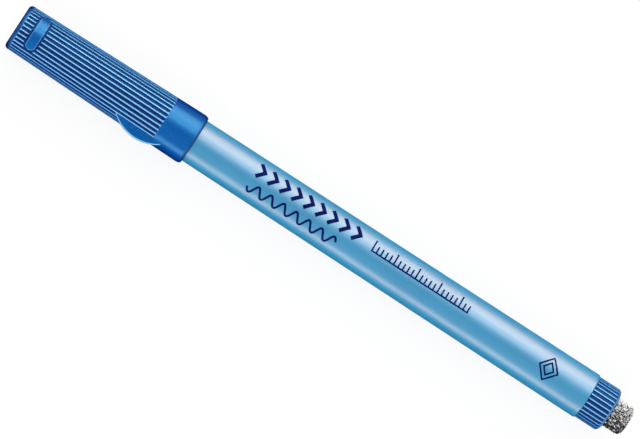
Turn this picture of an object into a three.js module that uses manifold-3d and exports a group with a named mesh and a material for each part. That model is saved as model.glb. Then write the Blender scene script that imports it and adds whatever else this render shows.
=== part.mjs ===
// Overhead projector marker: a fluted push-on cap, a round barrel with a fibre ink reservoir, and a
// ribbed end plug that holds a felt eraser.
//
// Millimetres, +Z up. The marker lies on its side along +X, from the closed end of the cap to the felt,
// and leans on the anti-roll lug of the cap. The origin is the centre of the cap's closed end face.
//
// Every piece is drawn about the X axis with the lug straight up (+Z) and then leans with the whole pen.
// A direction round the axis is an angle from the lug towards +Y.

import * as THREE from 'three';
import { mergeVertices } from 'three/addons/utils/BufferGeometryUtils.js';
import Module from 'manifold-3d';

const wasm = await Module();
wasm.setup();

// Clearances between pieces
const PRESS_GAP = 0.06;           // round a piece that is pressed in, each side
const SLIDE_GAP = 0.12;           // round a piece that slides or is taken off, each side
const FACE_GAP = 0.1;             // between faces that butt end to end

// Cap
const CAP_LENGTH = 40.8;
const CAP_END_RADIUS = 4.82;      // outside, at the closed end
const CAP_MOUTH_RADIUS = 5.35;    // outside, at the open end
const CAP_END_WALL = 1.2;
const CAP_END_ROUND = 0.8;
const CAP_LIP_LENGTH = 1.1;       // rounded lip at the mouth, along the axis
const CAP_LIP_DROP = 0.45;        // and across it
const CAP_COLLAR = 7.2;           // plain band at the mouth, without flutes

// Flutes
const FLUTE_COUNT = 34;
const FLUTE_PHASE_DEG = 2.9;      // from the lug to the middle of a ridge
const FLUTE_START = 0.9;          // from the closed end
const FLUTE_WIDTH = 0.48;
const FLUTE_DEPTH = 0.32;
const FLUTE_CHAMFER = 0.1;        // along both sides of the floor

// Raised pad in the flutes near the closed end
const PAD_CENTRE = 4.2;           // from the closed end
const PAD_WIDTH = 2.2;            // along the axis
const PAD_SPAN_DEG = 94;
const PAD_ANGLE_DEG = 101.7;      // from the lug
const PAD_MOAT = 0.24;            // width of the moat round the pad
const PAD_MOAT_DEPTH = 0.36;      // a little deeper than the flutes

// Anti-roll lug: a coin that stands on edge in the cap
const LUG_SETBACK = 10.2;         // from the cap's mouth to the middle of the lug
const LUG_THICKNESS = 6.6;
const LUG_COIN_RADIUS = 8.4;
const LUG_HEIGHT = 5.98;          // top of the coin above the pen's axis
const LUG_ROUND = 0.3;

// Sealing cup inside the cap
const SEAL_WALL = 0.5;
const SEAL_END_WALL = 0.6;
const SEAL_GRIP = 4.6;            // length of the cup that lies round the seal neck

// Barrel
const BARREL_OVERLAP = 4.3;       // length inside the cap
const BARREL_LENGTH = 95.25;
const BARREL_FRONT_RADIUS = 4.53;
const BARREL_REAR_RADIUS = 4.81;
const BARREL_BORE_RADIUS = 3.75;
const BARREL_EDGE_ROUND = 0.3;

// Nose section, from the barrel forwards
const NOSE_SPIGOT = 10;           // length inside the barrel
const NOSE_FLANGE = 1.6;
const NOSE_BODY = 8.3;
const NOSE_BODY_RADIUS = 3.9;
const NOSE_NECK = 6;
const NOSE_NECK_RADIUS = 3.1;
const NOSE_NECK_CHAMFER = 0.4;
const NOSE_CONE = 6.2;
const NOSE_CONE_RADIUS = 2.7;
const NOSE_MOUTH_RADIUS = 1.5;
const NOSE_WALL = 0.9;
const NOSE_BEAD = 0.12;           // height of the snap bead over the body
const NOSE_BEAD_LENGTH = 1.2;
const NOSE_BEAD_SETBACK = 2.2;    // from the front of the body to the bead

// Nib
const NIB_SLEEVE_REACH = 2.9;     // out of the nose
const NIB_SLEEVE_SEAT = 9.5;      // inside the nose
const NIB_SLEEVE_RADIUS = 0.95;
const NIB_SLEEVE_TAPER = 1.3;
const NIB_SLEEVE_WALL = 0.22;
const NIB_TIP_REACH = 0.9;        // out of the sleeve
const NIB_TIP_RADIUS = 0.3;
const NIB_CORE_RADIUS = 0.55;
const NIB_CORE_IN_RESERVOIR = 5;

// Ink reservoir
const RESERVOIR_RADIUS = 3.3;
const FILM_WALL = 0.12;

// End plug and felt
const PLUG_HEAD = 5.3;            // length outside the barrel
const PLUG_RADIUS = 4.6;
const PLUG_SHOULDER = 0.95;       // length of the rounded shoulder
const PLUG_RIM = 0.3;             // width of the flat rim round the felt
const PLUG_SPIGOT = 13;           // length inside the barrel
const PLUG_SPIGOT_WALL = 0.8;
const PLUG_GROOVE_COUNT = 30;
const PLUG_GROOVE_WIDTH = 0.42;
const PLUG_GROOVE_DEPTH = 0.3;
const FELT_RADIUS = 3.06;
const FELT_REACH = 3.9;           // out of the plug
const FELT_SEAT = 9;              // inside the plug
const FELT_ROUND = 0.85;

// Facets round a turned piece
const CAP_FACETS = 2 * FLUTE_COUNT;
const PLUG_FACETS = 2 * PLUG_GROOVE_COUNT;
const FACETS = 36;
const NIB_FACETS = 20;
const ROUND_STEPS = 4;
const LUG_FACETS = 72;

// Places along the axis, from the cap's closed end
const fluteEnd = CAP_LENGTH - CAP_COLLAR;
const lugCentre = CAP_LENGTH - LUG_SETBACK;
const barrelFront = CAP_LENGTH - BARREL_OVERLAP;
const barrelRear = barrelFront + BARREL_LENGTH;
const flangeFront = barrelFront - FACE_GAP - NOSE_FLANGE;
const bodyFront = flangeFront - NOSE_BODY;
const neckFront = bodyFront - NOSE_NECK;
const noseMouth = neckFront - NOSE_CONE;
const noseRear = barrelFront + NOSE_SPIGOT;
const sleeveFront = noseMouth - NIB_SLEEVE_REACH;
const sleeveRear = noseMouth + NIB_SLEEVE_SEAT;
const nibTip = sleeveFront - NIB_TIP_REACH;
const plugHeadFront = barrelRear + FACE_GAP;
const plugRear = plugHeadFront + PLUG_HEAD;
const plugFront = barrelRear - PLUG_SPIGOT;
const feltFloor = plugRear - FELT_SEAT;
const feltEnd = plugRear + FELT_REACH;
const reservoirFront = noseRear + FACE_GAP;
const reservoirRear = plugFront - FACE_GAP;
const nibRear = reservoirFront + NIB_CORE_IN_RESERVOIR;

// Radii that one piece takes from another
const plugBoreRadius = FELT_RADIUS + PRESS_GAP;
const spigotRadius = BARREL_BORE_RADIUS - PRESS_GAP;
const sealBoreRadius = NOSE_NECK_RADIUS + SLIDE_GAP;
const sealRadius = sealBoreRadius + SEAL_WALL;
const sleeveBoreRadius = NIB_CORE_RADIUS + PRESS_GAP;
const capMouthBoreRadius = Math.max(BARREL_FRONT_RADIUS, barrelRadius(CAP_LENGTH)) + SLIDE_GAP;

function capRadius(x) {
  return THREE.MathUtils.lerp(CAP_END_RADIUS, CAP_MOUTH_RADIUS, x / CAP_LENGTH);
}

function barrelRadius(x) {
  return THREE.MathUtils.lerp(BARREL_FRONT_RADIUS, BARREL_REAR_RADIUS, (x - barrelFront) / BARREL_LENGTH);
}

// A geometry as one closed solid that can be joined and cut.
function solid(geometry) {
  const bare = geometry.clone();
  bare.deleteAttribute('normal');
  bare.deleteAttribute('uv');
  const merged = mergeVertices(bare, 1e-5);
  const corners = merged.index.array;
  const triVerts = [];
  for (let i = 0; i < corners.length; i += 3) {
    const [a, b, c] = corners.slice(i, i + 3);
    if (a !== b && b !== c && c !== a) triVerts.push(a, b, c);
  }
  return new wasm.Manifold(new wasm.Mesh({
    numProp: 3,
    vertProperties: merged.attributes.position.array,
    triVerts: new Uint32Array(triVerts),
  }));
}

function geometryOf(body) {
  const { vertProperties, triVerts } = body.getMesh();
  const geometry = new THREE.BufferGeometry();
  geometry.setAttribute('position', new THREE.BufferAttribute(vertProperties, 3));
  geometry.setIndex(new THREE.BufferAttribute(triVerts, 1));
  return geometry;
}

// Turns an outline of [radius, x] points about the pen's axis. The outline runs towards +X on the outside
// and either ends on the axis or comes back inside and closes.
function turned(outline, facets = FACETS) {
  const points = outline.map(([radius, x]) => new THREE.Vector2(radius, x));
  return new THREE.LatheGeometry(points, facets).rotateZ(-Math.PI / 2);
}

function tube(outline, facets = FACETS) {
  return turned([...outline, outline[0]], facets);
}

// Points of a rounded corner as [radius, x], from the flat face at x = end to the side at radius side.
function cornerFromEnd(side, end, drop, length) {
  const arc = new THREE.EllipseCurve(side - drop, end + length, drop, length, -Math.PI / 2, 0);
  return arc.getPoints(ROUND_STEPS).map((p) => [p.x, p.y]);
}

// The same from the side to the flat face.
function cornerToEnd(side, end, drop, length) {
  const arc = new THREE.EllipseCurve(side - drop, end - length, drop, length, 0, Math.PI / 2);
  return arc.getPoints(ROUND_STEPS).map((p) => [p.x, p.y]);
}

// Outline of a slot with round ends, as a shape in (along the axis, round the surface).
function slotAlong(start, end, width) {
  const radius = width / 2;
  return new THREE.Shape()
    .absarc(start + radius, 0, radius, Math.PI / 2, 1.5 * Math.PI)
    .absarc(end - radius, 0, radius, -Math.PI / 2, Math.PI / 2);
}

// Outline of a slot that lies round the cap, with its long sides in short steps so that they can bend.
function slotRound(centre, width, length) {
  const radius = width / 2;
  const reach = length / 2 - radius;
  const steps = 12;
  const points = [];
  for (let i = 0; i < steps; i++) {
    points.push(new THREE.Vector2(centre + radius, reach * (2 * i / steps - 1)));
  }
  for (let i = 0; i < steps; i++) {
    const turn = Math.PI * i / steps;
    points.push(new THREE.Vector2(centre + radius * Math.cos(turn), reach + radius * Math.sin(turn)));
  }
  const half = points.slice();
  for (const p of half) points.push(new THREE.Vector2(2 * centre - p.x, -p.y));
  return points;
}

// Lays an extruded shape on the cap: its first axis runs along the pen, its second round the surface from
// the given angle, and its height out of the surface.
function laidOnCap(shape, low, high, angle, chamfer = 0) {
  const geometry = new THREE.ExtrudeGeometry(shape, {
    depth: high - low - 2 * chamfer,
    curveSegments: 2,
    bevelEnabled: chamfer > 0,
    bevelSegments: 1,
    bevelThickness: chamfer,
    bevelSize: chamfer,
    bevelOffset: -chamfer,
  });
  const position = geometry.attributes.position;
  for (let i = 0; i < position.count; i++) {
    const x = position.getX(i);
    const radius = capRadius(x) + low + chamfer + position.getZ(i);
    const turn = angle + position.getY(i) / capRadius(x);
    position.setXYZ(i, x, radius * Math.sin(turn), radius * Math.cos(turn));
  }
  return solid(geometry);
}

function capShell() {
  const flutePhase = THREE.MathUtils.degToRad(FLUTE_PHASE_DEG);
  const outside = solid(turned([
    [0, 0],
    ...cornerFromEnd(capRadius(CAP_END_ROUND), 0, CAP_END_ROUND, CAP_END_ROUND),
    ...cornerToEnd(capRadius(CAP_LENGTH - CAP_LIP_LENGTH), CAP_LENGTH, CAP_LIP_DROP, CAP_LIP_LENGTH),
    [0, CAP_LENGTH],
  ], CAP_FACETS).rotateX(-flutePhase));

  const padAngle = THREE.MathUtils.degToRad(PAD_ANGLE_DEG);
  const padLength = THREE.MathUtils.degToRad(PAD_SPAN_DEG) * capRadius(PAD_CENTRE);
  const padOutline = slotRound(PAD_CENTRE, PAD_WIDTH, padLength);
  const deep = -capRadius(PAD_CENTRE) / 2;
  const high = capRadius(PAD_CENTRE);
  const pad = laidOnCap(new THREE.Shape(padOutline), deep, high, padAngle);

  const moatShape = new THREE.Shape(slotRound(PAD_CENTRE, PAD_WIDTH + 2 * PAD_MOAT, padLength + 2 * PAD_MOAT));
  moatShape.holes.push(new THREE.Path(padOutline));
  const root = solid(turned([
    [0, 0],
    [capRadius(0) - PAD_MOAT_DEPTH, 0],
    [capRadius(CAP_LENGTH) - PAD_MOAT_DEPTH, CAP_LENGTH],
    [0, CAP_LENGTH],
  ], CAP_FACETS).rotateX(-flutePhase));
  const moat = laidOnCap(moatShape, deep, high, padAngle).subtract(root);

  const flute = slotAlong(FLUTE_START, fluteEnd, FLUTE_WIDTH);
  const flutes = [];
  for (let i = 0; i < FLUTE_COUNT; i++) {
    const angle = flutePhase + 2 * Math.PI * (i + 0.5) / FLUTE_COUNT;
    flutes.push(laidOnCap(flute, -FLUTE_DEPTH, FLUTE_DEPTH, angle, FLUTE_CHAMFER));
  }
  const grooves = wasm.Manifold.union(flutes).subtract(pad).add(moat);

  return geometryOf(outside.subtract(grooves).add(lug()).subtract(capBore()));
}

// The coin is turned about its own axis, laid across the pen, and kept on the lug's side only.
function lug() {
  const coinCentre = LUG_HEIGHT - LUG_COIN_RADIUS;
  const half = LUG_THICKNESS / 2;
  const coin = turned([
    [0, -half],
    ...cornerFromEnd(LUG_COIN_RADIUS, -half, LUG_ROUND, LUG_ROUND),
    ...cornerToEnd(LUG_COIN_RADIUS, half, LUG_ROUND, LUG_ROUND),
    [0, half],
  ], LUG_FACETS).rotateZ(Math.PI / 2).translate(lugCentre, 0, coinCentre);
  const upperHalf = new THREE.BoxGeometry(4 * LUG_COIN_RADIUS, 2 * LUG_THICKNESS, LUG_HEIGHT + 1)
    .translate(lugCentre, 0, (LUG_HEIGHT + 1) / 2);
  return solid(coin).intersect(solid(upperHalf));
}

// Inside of the cap: a wide mouth for the barrel, and a tapered bore that holds the sealing cup.
function capBore() {
  const seatRadius = NOSE_BODY_RADIUS + NOSE_BEAD + SLIDE_GAP;
  const mouthStep = flangeFront - FACE_GAP;
  return solid(turned([
    [0, CAP_END_WALL],
    [sealRadius + PRESS_GAP, CAP_END_WALL],
    [sealRadius + PRESS_GAP, bodyFront - FACE_GAP],
    [seatRadius, bodyFront - FACE_GAP],
    [seatRadius, mouthStep],
    [capMouthBoreRadius, mouthStep],
    [capMouthBoreRadius, CAP_LENGTH + 1],
    [0, CAP_LENGTH + 1],
  ]));
}

// Thin-walled cup, closed towards the cap's end wall, whose open end seals on the nose's neck.
function sealCup() {
  const front = CAP_END_WALL + FACE_GAP;
  const rear = neckFront + SEAL_GRIP;
  return turned([
    [0, front],
    [sealRadius, front],
    [sealRadius, rear],
    [sealBoreRadius, rear],
    [sealBoreRadius, front + SEAL_END_WALL],
    [0, front + SEAL_END_WALL],
  ]);
}

function barrel() {
  const round = Math.min(BARREL_EDGE_ROUND, (BARREL_FRONT_RADIUS - BARREL_BORE_RADIUS) / 2);
  return tube([
    [BARREL_BORE_RADIUS, barrelFront],
    ...cornerFromEnd(barrelRadius(barrelFront + round), barrelFront, round, round),
    ...cornerToEnd(barrelRadius(barrelRear - round), barrelRear, round, round),
    [BARREL_BORE_RADIUS, barrelRear],
  ]);
}

// Moulding that plugs the barrel's front and carries the nib: flange, gripped body, seal neck and cone.
function noseSection() {
  const beadRadius = NOSE_BODY_RADIUS + NOSE_BEAD;
  const beadFront = bodyFront + NOSE_BEAD_SETBACK;
  const beadRear = beadFront + NOSE_BEAD_LENGTH;
  const seatRadius = NIB_SLEEVE_RADIUS + PRESS_GAP;
  const mouthRound = (NOSE_MOUTH_RADIUS - seatRadius) / 2;
  return tube([
    [seatRadius, noseMouth],
    ...cornerFromEnd(NOSE_MOUTH_RADIUS, noseMouth, mouthRound, mouthRound),
    [NOSE_CONE_RADIUS, neckFront],
    [NOSE_NECK_RADIUS, neckFront + NOSE_NECK_CHAMFER],
    [NOSE_NECK_RADIUS, bodyFront],
    [NOSE_BODY_RADIUS - NOSE_NECK_CHAMFER, bodyFront],
    [NOSE_BODY_RADIUS, bodyFront + NOSE_NECK_CHAMFER],
    [NOSE_BODY_RADIUS, beadFront],
    [beadRadius, beadFront + NOSE_BEAD_LENGTH / 4],
    [beadRadius, beadRear - NOSE_BEAD_LENGTH / 4],
    [NOSE_BODY_RADIUS, beadRear],
    [NOSE_BODY_RADIUS, flangeFront],
    [BARREL_FRONT_RADIUS, flangeFront],
    [BARREL_FRONT_RADIUS, flangeFront + NOSE_FLANGE],
    [spigotRadius, flangeFront + NOSE_FLANGE],
    [spigotRadius, noseRear],
    [spigotRadius - NOSE_WALL, noseRear],
    [spigotRadius - NOSE_WALL, bodyFront + NOSE_WALL],
    [NOSE_NECK_RADIUS - NOSE_WALL, bodyFront],
    [NOSE_NECK_RADIUS - NOSE_WALL, sleeveRear],
    [seatRadius, sleeveRear],
  ]);
}

function nibSleeve() {
  const tipBore = NIB_TIP_RADIUS + PRESS_GAP;
  const tipRadius = tipBore + NIB_SLEEVE_WALL;
  return tube([
    [tipBore, sleeveFront],
    [tipRadius, sleeveFront],
    [NIB_SLEEVE_RADIUS, sleeveFront + NIB_SLEEVE_TAPER],
    [NIB_SLEEVE_RADIUS, sleeveRear],
    [sleeveBoreRadius, sleeveRear],
    [sleeveBoreRadius, sleeveFront + NIB_SLEEVE_TAPER],
    [tipBore, sleeveFront + NIB_SLEEVE_TAPER],
  ], NIB_FACETS);
}

// Fibre rod that carries ink from the reservoir to its rounded writing tip.
function nibCore() {
  const stepBack = sleeveFront + NIB_SLEEVE_TAPER + FACE_GAP;
  return turned([
    ...cornerFromEnd(NIB_TIP_RADIUS, nibTip, NIB_TIP_RADIUS, NIB_TIP_RADIUS),
    [NIB_TIP_RADIUS, stepBack],
    [NIB_CORE_RADIUS, stepBack],
    [NIB_CORE_RADIUS, nibRear],
    [0, nibRear],
  ], NIB_FACETS);
}

// Fibre bundle with a blind hole in its front where the nib's rod sits.
function inkReservoir() {
  const seat = NIB_CORE_RADIUS + PRESS_GAP;
  return turned([
    [0, nibRear + FACE_GAP],
    [seat, nibRear + FACE_GAP],
    [seat, reservoirFront],
    [RESERVOIR_RADIUS, reservoirFront],
    [RESERVOIR_RADIUS, reservoirRear],
    [0, reservoirRear],
  ]);
}

function reservoirFilm() {
  const inner = RESERVOIR_RADIUS + PRESS_GAP;
  return tube([
    [inner, reservoirFront],
    [inner + FILM_WALL, reservoirFront],
    [inner + FILM_WALL, reservoirRear],
    [inner, reservoirRear],
  ]);
}

// Plug with grooves that follow its side and its rounded shoulder and die out at the rim round the felt.
function endPlug() {
  const rimRadius = plugBoreRadius + PLUG_RIM;
  const shoulderDrop = PLUG_RADIUS - rimRadius;
  const spigotBore = spigotRadius - PLUG_SPIGOT_WALL;
  const floorWall = PLUG_SPIGOT_WALL;
  const body = solid(tube([
    [spigotBore, plugFront],
    [spigotRadius, plugFront],
    [spigotRadius, plugHeadFront],
    [PLUG_RADIUS, plugHeadFront],
    ...cornerToEnd(PLUG_RADIUS, plugRear, shoulderDrop, PLUG_SHOULDER),
    [plugBoreRadius, plugRear],
    [plugBoreRadius, feltFloor],
    [0, feltFloor],
    [0, feltFloor - floorWall],
    [spigotBore, feltFloor - floorWall],
  ], PLUG_FACETS));

  const floorRadius = PLUG_RADIUS - PLUG_GROOVE_DEPTH;
  const floorLine = cornerToEnd(floorRadius, plugRear, floorRadius - rimRadius, PLUG_SHOULDER);
  const clear = PLUG_RADIUS + 1;
  const section = new THREE.Shape([
    [plugHeadFront - FACE_GAP / 2, floorRadius],
    ...floorLine.map(([radius, x]) => [x, radius]),
    [plugRear, clear],
    [plugHeadFront - FACE_GAP / 2, clear],
  ].map(([x, radius]) => new THREE.Vector2(x, radius)));
  const slab = new THREE.ExtrudeGeometry(section, { depth: PLUG_GROOVE_WIDTH, bevelEnabled: false })
    .translate(0, 0, -PLUG_GROOVE_WIDTH / 2)
    .rotateX(Math.PI / 2);
  const grooves = [];
  for (let i = 0; i < PLUG_GROOVE_COUNT; i++) {
    grooves.push(solid(slab.clone().rotateX(2 * Math.PI * i / PLUG_GROOVE_COUNT)));
  }
  return geometryOf(body.subtract(wasm.Manifold.union(grooves)));
}

function felt() {
  return turned([
    [0, feltFloor + FACE_GAP],
    [FELT_RADIUS, feltFloor + FACE_GAP],
    ...cornerToEnd(FELT_RADIUS, feltEnd, FELT_ROUND, FELT_ROUND),
    [0, feltEnd],
  ]);
}

// Angle by which the pen rolls until the lug's corner and the cap's mouth both touch the floor.
function leanAngle() {
  const flank = LUG_THICKNESS / 2;
  const faceHeight = LUG_HEIGHT - LUG_ROUND;
  const cornerRadius = Math.hypot(flank, faceHeight);
  const cornerAngle = Math.atan2(flank, faceHeight);
  return Math.PI - cornerAngle - Math.acos(CAP_MOUTH_RADIUS / cornerRadius);
}

function plastic(color, roughness) {
  return new THREE.MeshStandardMaterial({ color, roughness, metalness: 0 });
}

const capBlue = plastic(0x0a57a4, 0.35);
const sealWhite = plastic(0xe4e8ea, 0.45);
const barrelBlue = plastic(0x56a4d2, 0.35);
const nibWhite = plastic(0xdfe3e6, 0.5);
const nibBlue = plastic(0x12388f, 0.8);
const inkFibre = plastic(0x1b3f9c, 0.95);
const clearFilm = new THREE.MeshStandardMaterial({
  color: 0xdde8f2, roughness: 0.15, metalness: 0, transparent: true, opacity: 0.5,
});
const feltGrey = plastic(0x827f7c, 1);

const pieces = [
  ['cap_shell', capShell, capBlue],
  ['cap_seal_cup', sealCup, sealWhite],
  ['barrel', barrel, barrelBlue],
  ['nose_section', noseSection, capBlue],
  ['nib_sleeve', nibSleeve, nibWhite],
  ['nib_core', nibCore, nibBlue],
  ['ink_reservoir', inkReservoir, inkFibre],
  ['reservoir_film', reservoirFilm, clearFilm],
  ['end_plug', endPlug, capBlue],
  ['eraser_felt', felt, feltGrey],
];

const marker = new THREE.Group();
for (const [name, make, material] of pieces) {
  const mesh = new THREE.Mesh(make(), material);
  mesh.name = name;
  marker.add(mesh);
}
marker.rotation.x = leanAngle();

export default marker;
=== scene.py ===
import math

import bmesh
import bpy
from mathutils import Matrix, Vector


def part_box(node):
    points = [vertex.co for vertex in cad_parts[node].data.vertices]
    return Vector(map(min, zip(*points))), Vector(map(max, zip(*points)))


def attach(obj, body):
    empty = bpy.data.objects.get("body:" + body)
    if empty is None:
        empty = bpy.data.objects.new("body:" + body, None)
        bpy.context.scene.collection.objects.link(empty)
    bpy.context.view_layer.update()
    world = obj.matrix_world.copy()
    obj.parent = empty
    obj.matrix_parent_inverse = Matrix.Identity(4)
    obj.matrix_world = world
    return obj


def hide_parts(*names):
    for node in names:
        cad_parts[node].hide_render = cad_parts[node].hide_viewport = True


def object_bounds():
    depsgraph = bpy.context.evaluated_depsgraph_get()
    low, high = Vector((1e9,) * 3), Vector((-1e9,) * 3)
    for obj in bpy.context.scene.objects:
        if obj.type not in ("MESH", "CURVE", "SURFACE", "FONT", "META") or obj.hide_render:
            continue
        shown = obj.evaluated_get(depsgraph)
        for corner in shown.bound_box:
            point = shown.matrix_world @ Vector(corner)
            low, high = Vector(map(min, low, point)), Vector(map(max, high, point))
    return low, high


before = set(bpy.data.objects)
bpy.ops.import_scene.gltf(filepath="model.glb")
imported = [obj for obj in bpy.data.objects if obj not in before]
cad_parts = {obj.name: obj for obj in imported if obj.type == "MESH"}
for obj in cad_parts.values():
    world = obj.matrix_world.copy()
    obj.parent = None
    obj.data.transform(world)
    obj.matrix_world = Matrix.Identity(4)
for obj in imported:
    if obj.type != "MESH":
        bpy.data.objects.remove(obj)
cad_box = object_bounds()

MM = 0.001
SEAM_GAP = 1e-6                  # metres within which a seam's points become one
X_AXIS = Vector((1, 0, 0))
Z_AXIS = Vector((0, 0, 1))


def ends_of(node):
    """Where a CAD node begins and ends along the pen, in millimetres from the cap's closed end."""
    return [corner.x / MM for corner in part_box(node)]


cap_x = ends_of("cap_shell")
cup_x = ends_of("cap_seal_cup")
barrel_x = ends_of("barrel")
nose_x = ends_of("nose_section")
sleeve_x = ends_of("nib_sleeve")
core_x = ends_of("nib_core")
plug_x = ends_of("end_plug")
felt_x = ends_of("eraser_felt")

# Cap, in millimetres
CAP_END_RADIUS = 4.82
CAP_MOUTH_RADIUS = 5.35
CAP_END_WALL = 1.2
CAP_END_ROUND = 0.8
CAP_END_CENTRE = 2.0             # radius of the end face's middle
CAP_LIP = (1.1, 0.45)            # along and across the axis
CAP_COLLAR = 7.2
CAP_MOUTH_BORE = 4.66
CAP_MOUTH_CHAMFER = 0.08
CAP_SEAT_BORE = 4.14
CAP_SEAT_LEAD = 1.8              # from the seat to the barrel's front
CAP_CUP_BORE = 3.78
CAP_CUP_ROOM = 1.3               # from the cup's rear to the seat's bore
FLUTES = 34
FLUTE_PHASE = math.radians(2.9)  # from the lug to the middle of a ridge
FLUTE_FLOOR = 0.34               # width of a flute's floor
FLUTE_WIDTH = 0.54
FLUTE_DEPTH = 0.34
FLUTE_START = 0.9
RIDGE_FLANK = 0.6                # share of a ridge's half width that its flank takes
PAD_CENTRE = 4.2
PAD_WIDTH = 2.2
PAD_SPAN = math.radians(94)
PAD_ANGLE = math.radians(101.7)
PAD_MOAT = 0.24
PAD_EDGE = 0.08
LUG_SETBACK = 10.2
LUG_FLANK = 3.3
LUG_COIN_RADIUS = 8.4
LUG_HEIGHT = 5.98
LUG_ROUND = 0.3
LUG_SOFTNESS = 0.85              # reach of the blend that stands for the lug's round edges
LUG_JOIN = 0.08                  # reach of the blend between the lug and the wall
LUG_SIDE = (0.2, 0.25)           # cosines of the turn between which the lug's side of the cap begins

# Rows of the cap's mesh, in millimetres: how far the close ones reach, and how far apart rows are
FLUTE_END_REACH = 0.8
PAD_REACH = 1.6
LUG_REACH = (5.8, 5.4)           # before and after the lug's middle
FLUTE_END_ROWS = 0.07
PAD_ROWS = 0.085
LUG_ROWS = 0.15
PLAIN_ROWS = 0.4
COLLAR_ROWS = 2.0
STRAIGHT_ROWS = 4.0
FACETS_PER_RIDGE = 16

# Barrel, plug and felt, in millimetres
BARREL_RADII = (4.53, 4.81)
BARREL_BORE = 3.75
BARREL_EDGE = 0.3
BARREL_REAR_DROP = 0.2           # how far the rear edge's round goes in
BARREL_ROWS = 3.0
SPIGOT_RADIUS = BARREL_BORE - 0.06
PLUG_RADIUS = 4.6
PLUG_RIM = 3.42
PLUG_BORE = 3.12
PLUG_BORE_CHAMFER = 0.05
PLUG_WALL = 0.8
PLUG_SHOULDER = 0.95
PLUG_SEAT = 0.02                 # from the barrel to the head
PLUG_SPIGOT_END = 0.1            # how far the spigot goes on past the barrel, inside the head
PLUG_CHAMFER = 0.06
PLUG_ROWS = 0.35
PLUG_GROOVES = 30
PLUG_GROOVE_FLOOR = 0.44
PLUG_GROOVE_DEPTH = 0.3
FELT_RADIUS = 3.06
FELT_CORE_RADIUS = 2.93          # under its fibres
FELT_NAP = 0.1                   # height of the fibres over the end
FELT_GAP = 0.1                   # from the felt to the floor of its socket
FELT_SOCKET_END = 0.3            # from the plug's end to where the felt narrows to its core
FELT_ROUND = 0.85
FELT_ROWS = 0.1
FELT_RINGS = 16
FELT_RING_WIDTH = 0.12
FELT_LEVEL = 0.6                 # noise at which the surface stays where it is
FELT_SWING = 2.0                 # that noise from end to end, in lump heights
FELT_SHADE = (0.35, 1.2)         # noise at which the body's mark is 0, and how fast it grows
FIBRE_BEND = 0.3                 # share of its length that a fibre's middle bulges
FIBRE_SCALES = (0.5, 1.2)
FIBRE_TURNS = ((-0.5, -0.5, 0.0), (0.5, 0.5, 6.28))   # least and greatest tilts and turn, in radians

# Inner pieces, in millimetres
CUP_RADIUS = 3.72
CUP_BORE = 3.22
CUP_FLOOR = 0.6
CUP_ROUND = 0.25
CUP_EDGE = 0.12
NOSE_CONE = 6.2
NOSE_NECK = 6.0
NOSE_BODY = 8.3
NOSE_FLANGE = 1.6
NOSE_WALL = 0.9
NOSE_BORE = 2.2
NOSE_SLEEVE_BORE = 1.01
NOSE_TIP_RADIUS = 1.5
NOSE_TIP_ROUND = 0.24
NOSE_STEP = ((0.0, 2.7), (0.12, 2.95), (0.4, 3.1))           # along from the cone's end, and radius
NOSE_NECK_RADIUS = 3.1
NOSE_NECK_FILLET = 0.12
NOSE_BODY_RADIUS = 3.9
NOSE_BODY_ROUND = 0.4
NOSE_BEAD_PLACE = 2.2
NOSE_BEAD = ((0.0, 3.9), (0.12, 3.95), (0.3, 4.02), (0.9, 4.02), (1.08, 3.95), (1.2, 3.9))
NOSE_FLANGE_RADIUS = 4.5
NOSE_FLANGE_ROUNDS = (0.15, 0.12)
SLEEVE_TIP_RADIUS = 0.58
SLEEVE_TIP_ROUND = 0.06
SLEEVE_TIP_BORE = 0.36
SLEEVE_RADIUS = 0.95
SLEEVE_BORE = 0.61
SLEEVE_CONE = 1.3
CORE_TIP_RADIUS = 0.3
CORE_RADIUS = 0.55
CORE_STEP = 1.4                  # from the sleeve's tip to where the core widens

# Limits that keep the lug's sums off zero
LUG_LEAST_HEIGHT = 0.1
LEAST_COSINE = 0.05
LEAST_SINE = 0.02

# Marks that paint shade and highlights on the fluted plastic: painted shade in the grooves, the pad's
# moat, the lip and round the closed end, and painted highlights on the crests and rims. Bands are the
# places, in millimetres, where one begins and ends
CREST_CLIMB = (0.5, 0.88)        # shares of the way up a ridge between which its painted highlight sets in
GROOVE_CLIMB = (0.2, 0.6)        # shares of the way up a ridge between which the groove's painted shade ends
CREST_END = 0.15
PAD_CLEARANCE = 0.35
PAD_RIM_BAND = (0.3, 0.1)        # in from the pad's edge
PAD_RIM_PAINTED_HIGHLIGHT = 0.3
LUG_RIM_BAND = (0.1, 0.4)
LUG_FOOT_BAND = (0.0, 0.1)
LIP_BAND = (0.9, 0.1)            # painted shade on the lip, from the cap's mouth
END_BAND = (0.3, 1.3)            # painted shade round the closed end's edge, from the cap's closed end
END_RING_BAND = (0.9, 0.25)      # in from the side of the closed end, where that painted shade lies
PAINTED_EDGE_SHADE = 0.8
PLUG_RIM_BAND = (0.8, 1.1)       # painted highlight round the plug's rim, out from that rim
PLUG_END_BAND = (0.7, 0.5)       # from the plug's end, where the painted rim highlight lies
PLUG_RIM_PAINTED_HIGHLIGHT = 0.7
PLUG_FLUTED = (0.0, 0.05)        # depths of a groove between which its painted shade and highlight set in


def lean_angle():
    """Roll of the pen from lug up to lying on its lug's corner, as the CAD pieces have it."""
    height = LUG_HEIGHT - LUG_ROUND
    corner = math.hypot(LUG_FLANK, height)
    return math.pi - math.atan2(LUG_FLANK, height) - math.acos(CAP_MOUTH_RADIUS / corner)


LEAN = lean_angle()
LUG_WAY = Vector((0, -math.sin(LEAN), math.cos(LEAN)))   # from the axis to the lug
SIDE_WAY = Vector((0, math.cos(LEAN), math.sin(LEAN)))   # a quarter turn on, facing the camera


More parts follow.
